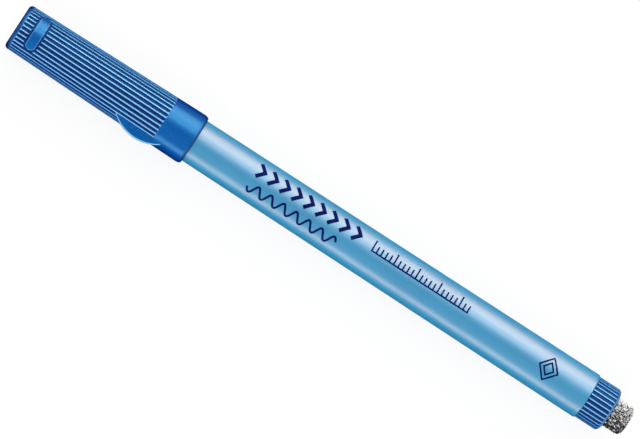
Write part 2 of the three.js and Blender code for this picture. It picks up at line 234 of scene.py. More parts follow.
# Camera: square to the flat of the lug, a little towards the cap, with the photograph's tilt
PICTURE = (640, 439)
PEN_MIDDLE = 68.48                       # place along the pen, in millimetres
PEN_MIDDLE_PIXEL = (314.26, 218.72)      # where that point of the axis lands
PEN_TILT = math.radians(33.07)           # of the pen in the picture, falling to the right
PIXELS_PER_MM = 5.164
CAMERA_DISTANCE = 1.3
CAMERA_TURN = math.radians(3.0)          # towards the cap from square on
CLIP_START = 0.01
SENSOR_WIDTH = 36.0
PEN_CENTRE = PEN_MIDDLE * MM * X_AXIS


def make_camera():
    toward = math.cos(CAMERA_TURN) * SIDE_WAY - math.sin(CAMERA_TURN) * X_AXIS
    along = (X_AXIS - X_AXIS.dot(toward) * toward).normalized()
    across = along.cross(toward)
    right = math.cos(PEN_TILT) * along - math.sin(PEN_TILT) * across
    up = -math.sin(PEN_TILT) * along - math.cos(PEN_TILT) * across
    off_right = (PICTURE[0] / 2 - PEN_MIDDLE_PIXEL[0]) / PIXELS_PER_MM * MM
    off_up = (PEN_MIDDLE_PIXEL[1] - PICTURE[1] / 2) / PIXELS_PER_MM * MM
    aim = PEN_CENTRE + off_right * right + off_up * up
    data = bpy.data.cameras.new("camera")
    data.sensor_width = SENSOR_WIDTH
    data.lens = PIXELS_PER_MM / MM * CAMERA_DISTANCE * SENSOR_WIDTH / PICTURE[0]
    data.clip_start = CLIP_START
    camera = bpy.data.objects.new("camera", data)
    turn = Matrix((right, up, toward)).transposed()
    camera.matrix_world = Matrix.Translation(aim + CAMERA_DISTANCE * toward) @ turn.to_4x4()
    bpy.context.collection.objects.link(camera)
    bpy.context.scene.camera = camera


# Node trees written as expressions

class Value:
    """A number on a node's socket. Arithmetic on it adds Math nodes to its tree."""

    def __init__(self, graph, socket):
        self.graph = graph
        self.socket = socket

    def math(self, operation, *others):
        values = dict(enumerate((self, *others)))
        return self.graph.out("ShaderNodeMath", {"operation": operation}, values)

    def flipped(self, operation, other):
        return self.graph.out("ShaderNodeMath", {"operation": operation}, {0: other, 1: self})

    def __add__(self, other):
        return self.math("ADD", other)

    def __radd__(self, other):
        return self.math("ADD", other)

    def __sub__(self, other):
        return self.math("SUBTRACT", other)

    def __rsub__(self, other):
        return self.flipped("SUBTRACT", other)

    def __mul__(self, other):
        return self.math("MULTIPLY", other)

    def __truediv__(self, other):
        return self.math("DIVIDE", other)

    def __rtruediv__(self, other):
        return self.flipped("DIVIDE", other)

    def __abs__(self):
        return self.math("ABSOLUTE")

    def at_least(self, other):
        return self.math("MAXIMUM", other)

    def at_most(self, other):
        return self.math("MINIMUM", other)

    def sine(self):
        return self.math("SINE")

    def cosine(self):
        return self.math("COSINE")

    def root(self):
        return self.math("SQRT")

    def step(self, low, high):
        """0 below low and 1 above high, with a smooth rise."""
        return self.graph.out(
            "ShaderNodeMapRange",
            {"interpolation_type": "SMOOTHSTEP"},
            {"Value": self, "From Min": low, "From Max": high},
        )

    def share_of(self, low, high):
        """0 below low and 1 above high, with a straight rise."""
        return ((self - low) / (high - low)).at_least(0.0).at_most(1.0)

    def between(self, low, high):
        """This value's 0 to 1 stretched to low to high."""
        return self * (high - low) + low


class Graph:
    """A shader or geometry node tree, built by calls that return values."""

    def __init__(self, tree):
        self.tree = tree

    def node(self, kind, settings=None, inputs=None):
        """Adds a node. settings go first; stops are a ramp's (place, colour) pairs."""
        node = self.tree.nodes.new(kind)
        for key, value in (settings or {}).items():
            if key == "stops":
                self.set_stops(node.color_ramp, value)
            else:
                setattr(node, key, value)
        for key, value in (inputs or {}).items():
            if isinstance(value, Value):
                self.tree.links.new(value.socket, node.inputs[key])
            else:
                node.inputs[key].default_value = value
        return node

    def out(self, kind, settings=None, inputs=None, output=0):
        return Value(self, self.node(kind, settings, inputs).outputs[output])

    @staticmethod
    def set_stops(ramp, stops):
        while len(ramp.elements) < len(stops):
            ramp.elements.new(1.0)
        for element, (place, colour) in zip(ramp.elements, stops):
            element.position = place
            element.color = colour


class GeometryTree(Graph):
    """A geometry node tree with named inputs. Its fields are in millimetres until the pen is wrapped."""

    def __init__(self, name, sizes):
        super().__init__(bpy.data.node_groups.new(name, "GeometryNodeTree"))
        self.sizes = sizes
        interface = self.tree.interface
        interface.new_socket("Geometry", in_out="INPUT", socket_type="NodeSocketGeometry")
        interface.new_socket("Geometry", in_out="OUTPUT", socket_type="NodeSocketGeometry")
        for label, value in sizes.items():
            kind = "NodeSocketInt" if isinstance(value, int) else "NodeSocketFloat"
            interface.new_socket(label, in_out="INPUT", socket_type=kind)
        interface.new_socket("Material", in_out="INPUT", socket_type="NodeSocketMaterial")
        self.start = self.tree.nodes.new("NodeGroupInput")

    def given(self, label):
        return Value(self, self.start.outputs[label])

    def attribute(self, name):
        return self.out("GeometryNodeInputNamedAttribute", {"data_type": "FLOAT"}, {"Name": name})

    def marked(self, geometry, name, value):
        """Stores the value on the points, for the material."""
        return self.out("GeometryNodeStoreNamedAttribute", {"data_type": "FLOAT", "domain": "POINT"},
                        {"Geometry": geometry, "Name": name, "Value": value})

    def unrolled_place(self):
        """The unrolled mesh's (along, turn, radius)."""
        position = self.out("GeometryNodeInputPosition")
        split = self.node("ShaderNodeSeparateXYZ", inputs={0: position})
        return [Value(self, socket) for socket in split.outputs]

    def wrapped(self, geometry, along, turn, radius):
        """Rolls the unrolled mesh up round the pen's axis, in metres, and closes its seams."""
        leaning = turn - LEAN
        place = self.out("ShaderNodeCombineXYZ", inputs={
            "X": along * MM, "Y": leaning.sine() * radius * MM, "Z": leaning.cosine() * radius * MM})
        moved = self.out("GeometryNodeSetPosition", inputs={"Geometry": geometry, "Position": place})
        return self.out("GeometryNodeMergeByDistance", inputs={"Geometry": moved, "Distance": SEAM_GAP})

    def random(self, kind, low, high, seed):
        """A random number or vector for each element."""
        first, last, output = {"FLOAT": (2, 3, 1), "FLOAT_VECTOR": (0, 1, 0)}[kind]
        return self.out("FunctionNodeRandomValue", {"data_type": kind},
                        {first: low, last: high, "Seed": seed}, output)

    def end(self, geometry):
        real = self.out("GeometryNodeRealizeInstances", inputs={0: geometry})
        material = self.given("Material")
        dressed = self.out("GeometryNodeSetMaterial", inputs={0: real, "Material": material})
        self.node("NodeGroupOutput", inputs={0: dressed})

    def grown_from(self, base, material):
        """Runs the tree on the base object and returns its plain mesh under the base's name."""
        modifier = base.modifiers.new("tree", "NODES")
        modifier.node_group = self.tree
        for item in self.tree.interface.items_tree:
            if item.in_out == "INPUT" and item.name in self.sizes:
                modifier[item.identifier] = self.sizes[item.name]
            if item.in_out == "INPUT" and item.name == "Material":
                modifier[item.identifier] = material
        graph = bpy.context.evaluated_depsgraph_get()
        mesh = bpy.data.meshes.new_from_object(base.evaluated_get(graph))
        base.modifiers.remove(modifier)
        base.data = mesh
        return base


def new_object(name, mesh):
    thing = bpy.data.objects.new(name, mesh)
    bpy.context.collection.objects.link(thing)
    return thing


def steps(start, stop, size):
    """Even places from start up to stop, no further apart than size, without stop itself."""
    count = max(1, math.ceil((stop - start) / size))
    return [start + (stop - start) * i / count for i in range(count)]


def arc(centre, reach, first, last, count):
    """Points (along, radius) of an elliptical corner; angles in degrees from the radius way."""
    points = []
    for i in range(count + 1):
        turn = math.radians(first + (last - first) * i / count)
        points.append((centre[0] + reach[0] * math.sin(turn), centre[1] + reach[1] * math.cos(turn)))
    return points


def corner_to_end(side, end, drop, length, count=8):
    """Rounded corner as (along, radius) from the side to the flat end face at the greater place."""
    return arc((end - length, side - drop), (length, drop), 0, 90, count)


def corner_from_end(side, end, drop, length, count=8):
    """The same from the flat end face at the smaller place to the side."""
    return arc((end + length, side - drop), (length, drop), -90, 0, count)


def unrolled(name, rows, turns):
    """A flat mesh whose points are (along, turn, radius), one row for each (along, radius, relief).

    relief is 1 where a tree may cut into the surface or raise it, and 0 where it may not.
    """
    width = len(turns)
    points = [(along, turn, radius) for along, radius, relief in rows for turn in turns]
    faces = []
    for i in range(len(rows) - 1):
        for j in range(width - 1):
            corner = i * width + j
            faces.append((corner, corner + 1, corner + width + 1, corner + width))
    mesh = bpy.data.meshes.new(name)
    mesh.from_pydata(points, [], faces)
    relief = mesh.attributes.new("relief", "FLOAT", "POINT")
    relief.data.foreach_set("value", [row[2] for row in rows for turn in turns])
    return new_object(name, mesh)


def even_turns(count):
    return [2 * math.pi * i / count for i in range(count + 1)]


def smooth(thing, sharp_degrees=35):
    """Shades the mesh smooth but for its sharper edges."""
    mesh = thing.data
    mesh.polygons.foreach_set("use_smooth", [True] * len(mesh.polygons))
    mesh.set_sharp_from_angle(angle=math.radians(sharp_degrees))
    mesh.update()
    return thing


def turned(name, profile, material, facets=160):
    """A turned piece about the pen's axis, from (along, radius) points in millimetres."""
    base = unrolled(name, [(along, radius, 0.0) for along, radius in profile], even_turns(facets))
    tree = GeometryTree(name + "_turned", {})
    along, turn, radius = tree.unrolled_place()
    tree.end(tree.wrapped(tree.given("Geometry"), along, turn, radius))
    return smooth(tree.grown_from(base, material))


# Cap

def cap_radius(x):
    return CAP_END_RADIUS + (CAP_MOUTH_RADIUS - CAP_END_RADIUS) * x / cap_x[1]


def cap_rows():
    """Rows from the middle of the closed end, over the outside to the mouth, and back inside."""
    length = cap_x[1]
    flute_ends = FLUTE_START + FLUTE_END_REACH
    pad_front = PAD_CENTRE - PAD_REACH
    pad_rear = PAD_CENTRE + PAD_REACH
    lug_front = length - LUG_SETBACK - LUG_REACH[0]
    lug_rear = length - LUG_SETBACK + LUG_REACH[1]
    lip_front = length - CAP_LIP[0]
    side = [
        *steps(CAP_END_ROUND, flute_ends, FLUTE_END_ROWS),
        *steps(flute_ends, pad_front, PLAIN_ROWS),
        *steps(pad_front, pad_rear, PAD_ROWS),
        *steps(pad_rear, lug_front, STRAIGHT_ROWS),
        *steps(lug_front, lug_rear, LUG_ROWS),
        *steps(lug_rear, lip_front, COLLAR_ROWS),
    ]
    end_corner = corner_from_end(cap_radius(CAP_END_ROUND), 0.0, CAP_END_ROUND, CAP_END_ROUND)
    lip = corner_to_end(cap_radius(lip_front), length, CAP_LIP[1], CAP_LIP[0], count=10)
    cup_end = cup_x[1] + CAP_CUP_ROOM
    seat_end = barrel_x[0] - CAP_SEAT_LEAD
    inside = [
        (length, CAP_MOUTH_BORE + CAP_MOUTH_CHAMFER), (length - CAP_MOUTH_CHAMFER, CAP_MOUTH_BORE),
        (seat_end, CAP_MOUTH_BORE), (seat_end, CAP_SEAT_BORE),
        (cup_end, CAP_SEAT_BORE), (cup_end, CAP_CUP_BORE),
        (CAP_END_WALL, CAP_CUP_BORE), (CAP_END_WALL, 0.0),
    ]
    rows = [(0.0, 0.0, 0.0), (0.0, CAP_END_CENTRE, 0.0)]
    rows += [(x, radius, 0.0) for x, radius in end_corner[:-1]]
    rows += [(x, cap_radius(x), 1.0) for x in side]
    rows += [(x, radius, 0.0) for x, radius in lip + inside]
    return rows


def cap_tree():
    pitch = 2 * math.pi / FLUTES
    tree = GeometryTree("fluted_cap", {
        "Flute pitch": pitch, "Flute phase": FLUTE_PHASE,
        "Flute floor": FLUTE_FLOOR, "Flute width": FLUTE_WIDTH, "Flute depth": FLUTE_DEPTH,
        "Ridge flank": RIDGE_FLANK,
        "Flute start": FLUTE_START, "Flute end": cap_x[1] - CAP_COLLAR, "Cap length": cap_x[1],
        "Pad centre": PAD_CENTRE, "Pad width": PAD_WIDTH, "Pad span": PAD_SPAN, "Pad angle": PAD_ANGLE,
        "Pad moat": PAD_MOAT, "Pad edge": PAD_EDGE,
        "Lug centre": cap_x[1] - LUG_SETBACK, "Lug flank": LUG_FLANK, "Lug coin radius": LUG_COIN_RADIUS,
        "Lug height": LUG_HEIGHT, "Lug softness": LUG_SOFTNESS,
    })
    given = tree.given
    along, turn, radius = tree.unrolled_place()
    relief = tree.attribute("relief")

    # Slots with round ends: distance to the nearest flute's middle line
    half = given("Flute width") / 2
    past_start = given("Flute start") + half - along
    past_end = along - (given("Flute end") - half)
    lengthwise = past_start.at_least(past_end).at_least(0.0)
    rolled = turn - given("Flute phase")
    around = ((rolled / given("Flute pitch")).math("FRACT") - 0.5) * given("Flute pitch") * radius
    to_flute = (around * around + lengthwise * lengthwise).root()
    climb = to_flute.share_of(given("Flute floor") / 2, given("Flute pitch") * radius / 2)
    flute = 1 - climb.step(0.0, given("Ridge flank"))

    # Pad: distance to the middle line of a slot laid round the cap
    pad_half = given("Pad width") / 2
    reach = given("Pad span") * radius / 2 - pad_half
    beside = (abs(turn - given("Pad angle")) * radius - reach).at_least(0.0)
    off_pad = along - given("Pad centre")
    to_pad = (off_pad * off_pad + beside * beside).root()
    soft = given("Pad edge")
    outside_pad = to_pad.step(pad_half - soft, pad_half + soft)
    moat_edge = pad_half + given("Pad moat")
    moat = outside_pad * (1 - to_pad.step(moat_edge - soft, moat_edge + soft))
    groove = (flute * outside_pad).at_least(moat)
    fluted = radius - relief * groove * given("Flute depth")

    # Lug: a coin on edge, seen as a height over the axis
    past_lug = along - given("Lug centre")
    coin = given("Lug coin radius")
    swing = (coin * coin - past_lug * past_lug).at_least(0.0).root()
    height = (swing - (coin - given("Lug height"))).at_least(LUG_LEAST_HEIGHT)
    top = height / turn.cosine().at_least(LEAST_COSINE)
    flank = given("Lug flank") / abs(turn.sine()).at_least(LEAST_SINE)
    lug = top.math("SMOOTH_MIN", flank, given("Lug softness")) * turn.cosine().step(*LUG_SIDE)
    lugged = fluted.math("SMOOTH_MAX", lug, LUG_JOIN)
    final = fluted + (lugged - fluted) * relief

    # Painted shade in the grooves and the pad's moat, and painted highlights on the crests and on the
    # pad's and lug's rims
    on_lug = (lug - fluted).step(*LUG_FOOT_BAND)
    off_lug = 1 - on_lug
    in_line = 1 - lengthwise.step(CREST_END, half + CREST_END)
    clear_of_pad = to_pad.step(moat_edge, moat_edge + PAD_CLEARANCE)
    crest = climb.step(*CREST_CLIMB) * in_line * clear_of_pad * off_lug
    painted_pad_rim_highlight = to_pad.step(pad_half - PAD_RIM_BAND[0], pad_half - PAD_RIM_BAND[1])
    painted_pad_rim_highlight = painted_pad_rim_highlight * (1 - outside_pad) * PAD_RIM_PAINTED_HIGHLIGHT
    painted_lug_rim_highlight = (1 - abs(top - flank).step(*LUG_RIM_BAND)) * on_lug
    painted_highlight = (crest + painted_pad_rim_highlight + painted_lug_rim_highlight) * relief
    shaded = (1 - climb.step(*GROOVE_CLIMB)).at_least(moat) * outside_pad * off_lug * relief
    # Painted shade on the lip and round the closed end's edge, for a dark outline there
    lip = along.step(given("Cap length") - LIP_BAND[0], given("Cap length") - LIP_BAND[1])
    end_ring = radius.step(CAP_END_RADIUS - END_RING_BAND[0], CAP_END_RADIUS - END_RING_BAND[1])
    painted_end_shade = (1 - along.step(*END_BAND)) * end_ring
    shaded = shaded.at_least(lip * PAINTED_EDGE_SHADE).at_least(painted_end_shade * PAINTED_EDGE_SHADE)
    marked = tree.marked(given("Geometry"), "groove", shaded)
    marked = tree.marked(marked, "crest", painted_highlight)
    tree.end(tree.wrapped(marked, along, turn, final))
    return tree


def make_cap(material):
    base = unrolled("cap_body", cap_rows(), even_turns(FLUTES * FACETS_PER_RIDGE))
    return smooth(cap_tree().grown_from(base, material), sharp_degrees=60)


# Turned pieces of the body

def barrel_radius(x):
    share = (x - barrel_x[0]) / (barrel_x[1] - barrel_x[0])
    return BARREL_RADII[0] + (BARREL_RADII[1] - BARREL_RADII[0]) * share


def make_barrel(material):
    front, rear = barrel_x
    side_front = front + BARREL_EDGE
    side_rear = rear - BARREL_EDGE
    profile = [
        (front, BARREL_BORE),
        *corner_from_end(barrel_radius(side_front), front, BARREL_EDGE, BARREL_EDGE),
        *[(x, barrel_radius(x)) for x in steps(side_front, side_rear, BARREL_ROWS)[1:]],
        *corner_to_end(barrel_radius(side_rear), rear, BARREL_REAR_DROP, BARREL_EDGE),
        (rear, BARREL_BORE),
        (front, BARREL_BORE),
    ]
    return turned("barrel_tube", profile, material)


def make_seal_cup(material):
    front, rear = cup_x
    profile = [
        (front, 0.0),
        *corner_from_end(CUP_RADIUS, front, CUP_ROUND, CUP_ROUND, count=4),
        *corner_to_end(CUP_RADIUS, rear, CUP_EDGE, CUP_EDGE, count=4),
        (rear, CUP_BORE + CUP_EDGE), (rear - CUP_EDGE, CUP_BORE),
        (front + CUP_FLOOR, CUP_BORE), (front + CUP_FLOOR, 0.0),
    ]
    return turned("seal_cup_turned", profile, material, facets=96)


def make_nose(material):
    mouth, rear = nose_x
    neck = mouth + NOSE_CONE
    body = neck + NOSE_NECK
    flange = body + NOSE_BODY
    flange_end = flange + NOSE_FLANGE
    bead = body + NOSE_BEAD_PLACE
    front_round, rear_round = NOSE_FLANGE_ROUNDS
    inside = SPIGOT_RADIUS - NOSE_WALL
    profile = [
        (mouth, NOSE_SLEEVE_BORE),
        *corner_from_end(NOSE_TIP_RADIUS, mouth, NOSE_TIP_ROUND, NOSE_TIP_ROUND, count=6),
        *[(neck + x, radius) for x, radius in NOSE_STEP],
        *corner_to_end(NOSE_NECK_RADIUS, body, -NOSE_NECK_FILLET, NOSE_NECK_FILLET, count=4),
        *corner_from_end(NOSE_BODY_RADIUS, body, NOSE_BODY_ROUND, NOSE_BODY_ROUND, count=6),
        *[(bead + x, radius) for x, radius in NOSE_BEAD],
        (flange, NOSE_BODY_RADIUS),
        *corner_from_end(NOSE_FLANGE_RADIUS, flange, front_round, front_round, count=4),
        *corner_to_end(NOSE_FLANGE_RADIUS, flange_end, rear_round, rear_round, count=4),
        (flange_end, SPIGOT_RADIUS), (rear, SPIGOT_RADIUS), (rear, inside), (body + NOSE_WALL, inside),
        (body, NOSE_BORE), (sleeve_x[1], NOSE_BORE), (sleeve_x[1], NOSE_SLEEVE_BORE),
        (mouth, NOSE_SLEEVE_BORE),
    ]
    return turned("nose_turned", profile, material, facets=128)


def make_nib_sleeve(material):
    front, rear = sleeve_x
    cone = front + SLEEVE_CONE
    profile = [
        (front, SLEEVE_TIP_BORE),
        *corner_from_end(SLEEVE_TIP_RADIUS, front, SLEEVE_TIP_ROUND, SLEEVE_TIP_ROUND, count=3),
        (cone, SLEEVE_RADIUS), (rear, SLEEVE_RADIUS), (rear, SLEEVE_BORE), (cone, SLEEVE_BORE),
        (cone, SLEEVE_TIP_BORE), (front, SLEEVE_TIP_BORE),
    ]
    return turned("nib_sleeve_turned", profile, material, facets=64)


def make_nib_core(material):
    tip, rear = core_x
    step = sleeve_x[0] + CORE_STEP
    profile = [
        *corner_from_end(CORE_TIP_RADIUS, tip, CORE_TIP_RADIUS, CORE_TIP_RADIUS),
        (step, CORE_TIP_RADIUS), (step, CORE_RADIUS), (rear, CORE_RADIUS), (rear, 0.0),
    ]
    return turned("nib_core_turned", profile, material, facets=48)


# End plug and felt

def plug_outline():
    """Outside of the plug's head as (along, radius, depth of a groove there)."""
    rear = plug_x[1]
    front = barrel_x[1] + PLUG_SEAT
    floor_radius = PLUG_RADIUS - PLUG_GROOVE_DEPTH
    places = [(x, PLUG_RADIUS) for x in steps(front + PLUG_CHAMFER, rear - PLUG_SHOULDER, PLUG_ROWS)]
    places += corner_to_end(PLUG_RADIUS, rear, PLUG_RADIUS - PLUG_RIM, PLUG_SHOULDER, count=16)
    rows = []
    for x, radius in places:
        share = max(0.0, (x - rear + PLUG_SHOULDER) / PLUG_SHOULDER)
        floor = PLUG_RIM + (floor_radius - PLUG_RIM) * math.sqrt(max(0.0, 1 - share * share))
        rows.append((x, radius, radius - floor))
    return [(front, PLUG_RADIUS - PLUG_CHAMFER, 0.0), *rows]


def plug_tree():
    tree = GeometryTree("grooved_plug", {
        "Groove pitch": 2 * math.pi / PLUG_GROOVES, "Groove floor": PLUG_GROOVE_FLOOR,
        "Ridge flank": RIDGE_FLANK,
    })
    along, turn, radius = tree.unrolled_place()
    pitch = tree.given("Groove pitch")
    around = abs((turn / pitch + 0.5).math("FRACT") - 0.5) * pitch * radius
    climb = around.share_of(tree.given("Groove floor") / 2, pitch * radius / 2)
    relief = tree.attribute("relief")
    cut = radius - relief * (1 - climb.step(0.0, tree.given("Ridge flank")))
    # Painted shade in the grooves, and painted highlights on the crests and round the rim at the plug's
    # end
    fluted = relief.step(*PLUG_FLUTED)
    rear = plug_x[1]
    at_end = along.step(rear - PLUG_END_BAND[0], rear - PLUG_END_BAND[1])
    painted_rim_highlight = (1 - (radius - PLUG_RIM).step(*PLUG_RIM_BAND)) * at_end * PLUG_RIM_PAINTED_HIGHLIGHT
    shaded = (1 - climb.step(*GROOVE_CLIMB)) * fluted
    painted_highlight = (climb.step(*CREST_CLIMB) * fluted).at_least(painted_rim_highlight)
    marked = tree.marked(tree.given("Geometry"), "groove", shaded)
    marked = tree.marked(marked, "crest", painted_highlight)
    tree.end(tree.wrapped(marked, along, turn, cut))
    return tree


def make_plug(material):
    front, rear = plug_x
    spigot_end = barrel_x[1] + PLUG_SPIGOT_END
    inside = SPIGOT_RADIUS - PLUG_WALL
    floor = felt_x[0] - FELT_GAP
    rows = [(front, inside, 0.0), (front, SPIGOT_RADIUS, 0.0), (spigot_end, SPIGOT_RADIUS, 0.0)]
    rows += plug_outline()
    rows += [(x, radius, 0.0) for x, radius in (
        (rear, PLUG_BORE + PLUG_BORE_CHAMFER), (rear - PLUG_BORE_CHAMFER, PLUG_BORE),
        (floor, PLUG_BORE), (floor, 0.0), (floor - PLUG_WALL, 0.0), (floor - PLUG_WALL, inside),
        (front, inside))]
    base = unrolled("end_plug_grooved", rows, even_turns(PLUG_GROOVES * FACETS_PER_RIDGE))
    return smooth(plug_tree().grown_from(base, material), sharp_degrees=60)


def felt_tree():
    """A lumpy body with short bent fibres strewn over the end that stands out of the plug."""
    tree = GeometryTree("felt_fibres", {
        "Lump size": 0.55, "Lump height": 0.16, "Fibres per square mm": 27.0, "Fibre length": 0.62,
        "Fibre thickness": 0.17, "Seed": 4,
    })
    given = tree.given
    position = tree.out("GeometryNodeInputPosition")
    normal = tree.out("GeometryNodeInputNormal")
    noise = tree.out("ShaderNodeTexNoise", inputs={
        "Vector": position, "Scale": 1 / (given("Lump size") * MM), "Detail": 2.0})
    lift = (noise - FELT_LEVEL) * given("Lump height") * (FELT_SWING * MM)
    offset = tree.out("ShaderNodeVectorMath", {"operation": "SCALE"}, {0: normal, "Scale": lift})
    lumpy = tree.out("GeometryNodeSetPosition", inputs={"Geometry": given("Geometry"), "Offset": offset})
    body = tree.marked(lumpy, "shade", (noise - FELT_SHADE[0]) * FELT_SHADE[1])

    along = tree.out("ShaderNodeSeparateXYZ", inputs={0: position})
    shown = along.math("GREATER_THAN", (plug_x[1] - FELT_NAP) * MM)
    points = tree.node("GeometryNodeDistributePointsOnFaces", inputs={
        "Mesh": body, "Selection": shown, "Density": given("Fibres per square mm") / (MM * MM),
        "Seed": given("Seed")})
    placed = Value(tree, points.outputs["Points"])
    upright = Value(tree, points.outputs["Rotation"])
    shaded = tree.marked(placed, "shade", tree.random("FLOAT", 0.0, 1.0, given("Seed") + 1))
    wander = tree.random("FLOAT_VECTOR", *FIBRE_TURNS, given("Seed") + 2)
    turn = tree.out("FunctionNodeRotateRotation", {"rotation_space": "LOCAL"},
                    {0: upright, 1: tree.out("FunctionNodeEulerToRotation", inputs={0: wander})})

    length = given("Fibre length") * MM
    thickness = given("Fibre thickness") * MM
    bend = tree.node("GeometryNodeCurveQuadraticBezier", inputs={
        "Resolution": 4,
        "Start": tree.out("ShaderNodeCombineXYZ", inputs={0: length * -0.5}),
        "Middle": tree.out("ShaderNodeCombineXYZ", inputs={1: length * FIBRE_BEND, 2: thickness}),
        "End": tree.out("ShaderNodeCombineXYZ", inputs={0: length * 0.5})})
    section = tree.out("GeometryNodeCurvePrimitiveCircle", {"mode": "RADIUS"},
                       {"Resolution": 4, "Radius": thickness / 2})
    fibre = tree.out("GeometryNodeCurveToMesh", inputs={
        "Curve": Value(tree, bend.outputs[0]), "Profile Curve": section, "Fill Caps": True})
    scale = tree.random("FLOAT", *FIBRE_SCALES, given("Seed") + 3)
    fibres = tree.out("GeometryNodeInstanceOnPoints", inputs={
        "Points": shaded, "Instance": fibre, "Rotation": turn, "Scale": scale})
    joined = tree.node("GeometryNodeJoinGeometry")
    tree.tree.links.new(body.socket, joined.inputs[0])
    tree.tree.links.new(fibres.socket, joined.inputs[0])
    tree.end(Value(tree, joined.outputs[0]))
    return tree


def make_felt(material):
    front, rear = felt_x
    shown = plug_x[1] - FELT_NAP
    core = FELT_CORE_RADIUS
    end = rear - FELT_NAP
    rows = [(front, 0.0), (front, FELT_RADIUS), (plug_x[1] - FELT_SOCKET_END, FELT_RADIUS)]
    rows += [(x, core) for x in steps(shown, end - FELT_ROUND, FELT_ROWS)]
    rows += corner_to_end(core, end, FELT_ROUND, FELT_ROUND, count=12)
    rows += [(end, core - FELT_ROUND - FELT_RING_WIDTH * i) for i in range(1, FELT_RINGS + 1)]
    rows += [(end, 0.0)]
    body = turned("felt_body", rows, material, facets=180)
    return smooth(felt_tree().grown_from(body, material), sharp_degrees=180)


# Print on the barrel: flat shapes (along the pen, round it, over the surface) that are laid on by a tree

PRINT_HEIGHT = 0.02
MITRE_LEAST = 0.3                # keeps the point of a sharp bend short
WAVE_STEP = 0.15
RULER_LINE = 0.32
DIAMOND_LINE = 0.34
DIAMOND_CENTRE = (122.15, -0.4)


def ribbon(points, width, closed=False):
    """A line of the given width through the points, as a thin closed body."""
    count = len(points)
    corners = []
    for i, (x, y) in enumerate(points):
        before = points[i - 1] if closed or i > 0 else None
        after = points[(i + 1) % count] if closed or i < count - 1 else None
        ways = []
        if before:
            ways.append(Vector((x - before[0], y - before[1])).normalized())
        if after:
            ways.append(Vector((after[0] - x, after[1] - y)).normalized())
        way = sum(ways, Vector((0, 0))).normalized()
        mitre = width / 2 / max(MITRE_LEAST, way.dot(ways[0]))
        side = Vector((-way.y, way.x)) * mitre
        for sign, height in ((1, 1), (-1, 1), (-1, -1), (1, -1)):
            corners.append((x + sign * side.x, y + sign * side.y, height * PRINT_HEIGHT))
    faces = []
    for i in range(count if closed else count - 1):
        a = 4 * i
        b = 4 * ((i + 1) % count)
        faces += [(a + k, a + (k + 1) % 4, b + (k + 1) % 4, b + k) for k in range(4)]
    if not closed:
        faces += [(3, 2, 1, 0), tuple(range(4 * count - 4, 4 * count))]
    return corners, faces


def traced(points, size=0.3):
    """The points with others between them, so that a line can bend round the barrel."""
    fine = []
    for (ax, ay), (bx, by) in zip(points, points[1:]):
        for share in steps(0.0, 1.0, size / math.hypot(bx - ax, by - ay)):
            fine.append((ax + (bx - ax) * share, ay + (by - ay) * share))
    return fine + [points[-1]]


def wave(start, middle, height, length, count):
    """Points of a wave along the pen."""
    places = [WAVE_STEP * i for i in range(count)]
    return [(start + x, middle + height * math.sin(x * math.tau / length)) for x in places]


def diamond(centre, half_length, half_width):
    x, y = centre
    corners = [(x - half_length, y), (x, y - half_width), (x + half_length, y), (x, y + half_width)]
    return traced([*corners, corners[0]])[:-1]


# Middle line, width, for a row of marks how many and how far apart, and True for a closed line
MARKS = (
    (traced([(54.2, -3.8), (55.6, -2.25), (54.2, -0.7)]), 0.8, 9, 2.75),
    (wave(53.9, 1.75, 1.0, 2.9, 136), 0.46),
    (traced([(80.9, -2.4), (80.9, -0.9)]), RULER_LINE, 23),
    (traced([(80.9, -3.4), (80.9, -2.4)]), RULER_LINE, 5, 5.0),
    (traced([(80.74, -0.9), (103.06, -0.9)]), RULER_LINE),
    (diamond(DIAMOND_CENTRE, 2.05, 2.5), DIAMOND_LINE, 1, 1.0, True),
    (diamond(DIAMOND_CENTRE, 1.1, 1.35), DIAMOND_LINE, 1, 1.0, True),
)


def print_tree():
    tree = GeometryTree("laid_print", {
        "Count": 1, "Pitch": 1.0, "Front": barrel_x[0], "Length": barrel_x[1] - barrel_x[0],
        "Front radius": BARREL_RADII[0], "Rear radius": BARREL_RADII[1],
    })
    given = tree.given
    row = tree.out("GeometryNodeMeshLine", {"mode": "OFFSET"}, {
        "Count": given("Count"),
        "Offset": tree.out("ShaderNodeCombineXYZ", inputs={0: given("Pitch")})})
    copies = tree.out("GeometryNodeInstanceOnPoints",
                      inputs={"Points": row, "Instance": given("Geometry")})
    flat = tree.out("GeometryNodeRealizeInstances", inputs={0: copies})
    along, around, height = tree.unrolled_place()
    share = (along - given("Front")) / given("Length")
    surface = given("Front radius") + share * (given("Rear radius") - given("Front radius"))
    turn = math.pi / 2 - around / surface
    tree.end(tree.wrapped(flat, along, turn, surface + height))
    return tree


def printed(tree, material, points, width, count=1, pitch=1.0, closed=False):
    """One mark, or a row of them, as an object of its own."""
    mesh = bpy.data.meshes.new("mark")
    corners, faces = ribbon(points, width, closed)
    mesh.from_pydata(corners, [], faces)
    tree.sizes["Count"] = count
    tree.sizes["Pitch"] = pitch
    return tree.grown_from(new_object("mark", mesh), material)


def make_print(material):
    tree = print_tree()
    joined = bmesh.new()
    for mark in [printed(tree, material, *mark) for mark in MARKS]:
        joined.from_mesh(mark.data)
        bpy.data.objects.remove(mark)
    mesh = bpy.data.meshes.new("barrel_print")
    joined.to_mesh(mesh)
    joined.free()
    mesh.materials.append(material)
    return new_object("barrel_print", mesh)


# Finishes: colours are (red, green, blue), and shades are the two that a material drifts between

